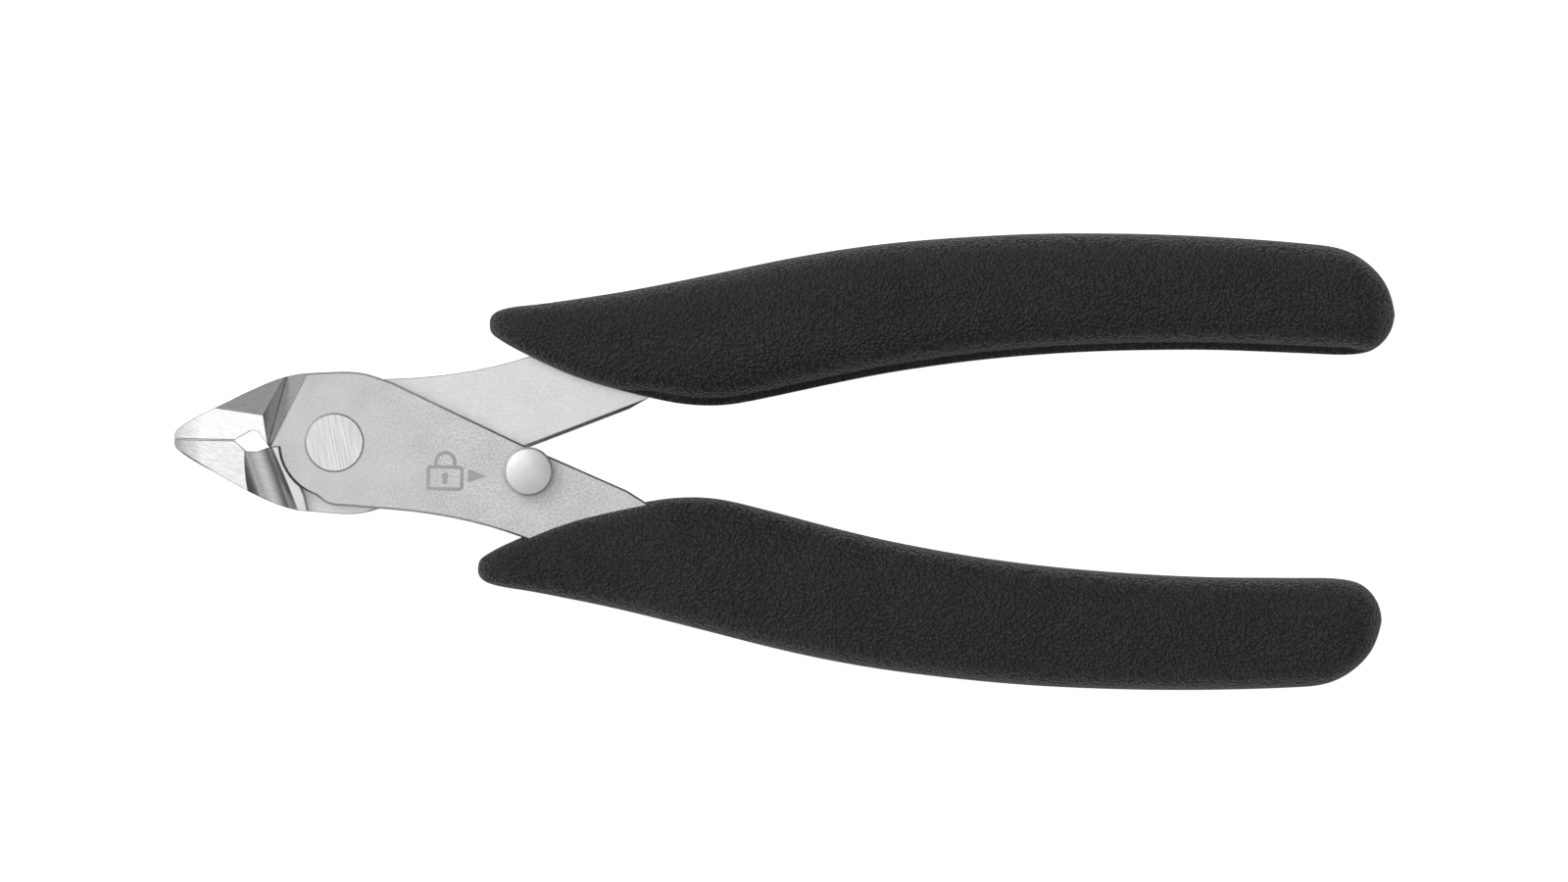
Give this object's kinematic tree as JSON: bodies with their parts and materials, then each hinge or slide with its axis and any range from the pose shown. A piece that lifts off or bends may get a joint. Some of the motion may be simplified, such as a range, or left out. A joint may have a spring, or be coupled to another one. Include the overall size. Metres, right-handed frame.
{
  "type": "flush cutter",
  "caption": "Slim flush-cutting side cutter with lapped steel halves, a rivet joint, a hidden return spring, a push lock and moulded black grips.",
  "frame": {"origin": "bottom centre of the bounding box, on the plane that the grips rest on, under the middle of the tool's length", "axes": "+X from the jaw tips to the grip ends, +Y towards the rear half's grip, +Z out of the flush side"},
  "size_m": [0.125, 0.0468, 0.0106],
  "materials": {
    "satin_steel": "fine satin, ground bright on the jaws",
    "rivet_steel": "coarse straight grinding marks",
    "spring_wire": "drawn spring wire",
    "button_steel": "satin turned",
    "grip_black": "matte black with a fine pebbled grain"
  },
  "bodies": {
    "front_half": {"front_plate": "satin_steel", "pivot_rivet": "rivet_steel", "return_spring": "spring_wire", "lock_spring": "spring_wire", "grip_lower": "grip_black"},
    "rear_half": {"rear_plate": "satin_steel", "grip_upper": "grip_black"},
    "lock": {"lock_button": "button_steel", "lock_pin": "button_steel"}
  },
  "joints": [
    {"name": "jaw_pivot", "type": "hinge", "parent": "front_half", "child": "rear_half", "pos_m": [-0.046, 0, 0.0053], "axis": [0, 0, 1], "range_deg": [0, 14], "stiffness_Nm_per_rad": 0.57, "springref_deg": 30.37, "deforming": ["return_spring"]},
    {"name": "lock_push", "type": "slide", "parent": "front_half", "child": "lock", "axis": [0, 0, -1], "range_m": [0, 0.0013], "stiffness_N_per_m": 1200, "springref_m": -0.0004, "deforming": ["lock_spring"]}
  ]
}
